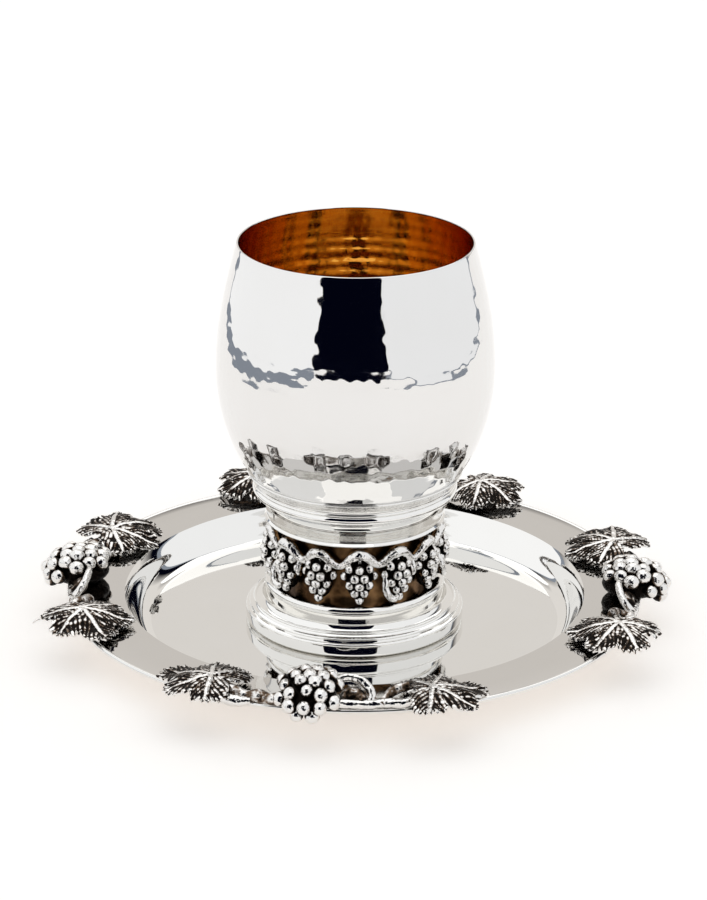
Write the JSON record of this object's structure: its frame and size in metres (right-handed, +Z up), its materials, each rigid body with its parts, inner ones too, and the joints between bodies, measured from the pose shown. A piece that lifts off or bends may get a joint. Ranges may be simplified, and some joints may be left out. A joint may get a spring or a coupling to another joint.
{
  "type": "kiddush cup",
  "caption": "Hammered silver wine cup with a gilded inside, on a turned foot wrapped in a cast grapevine garland, standing on a round tray whose rim carries cast vine sprigs.",
  "frame": {"origin": "centre of the tray's flat underside", "axes": "+Z up through the cup's axis, -Y the cup's front, +X to the right seen from the front"},
  "size_m": [0.1933, 0.192, 0.1229],
  "materials": {
    "polished_silver": "polished silver, hammered on the bowl, gilded inside it",
    "cast_silver": "cast silver, polished on its high places, blackened in its recesses"
  },
  "bodies": {
    "root": {"bowl": "polished_silver", "collar": "polished_silver", "garland": "cast_silver", "base": "polished_silver", "tray": "polished_silver", "vine_sprig_front": "cast_silver", "vine_sprig_right": "cast_silver", "vine_sprig_back": "cast_silver", "vine_sprig_left": "cast_silver"}
  },
  "joints": []
}
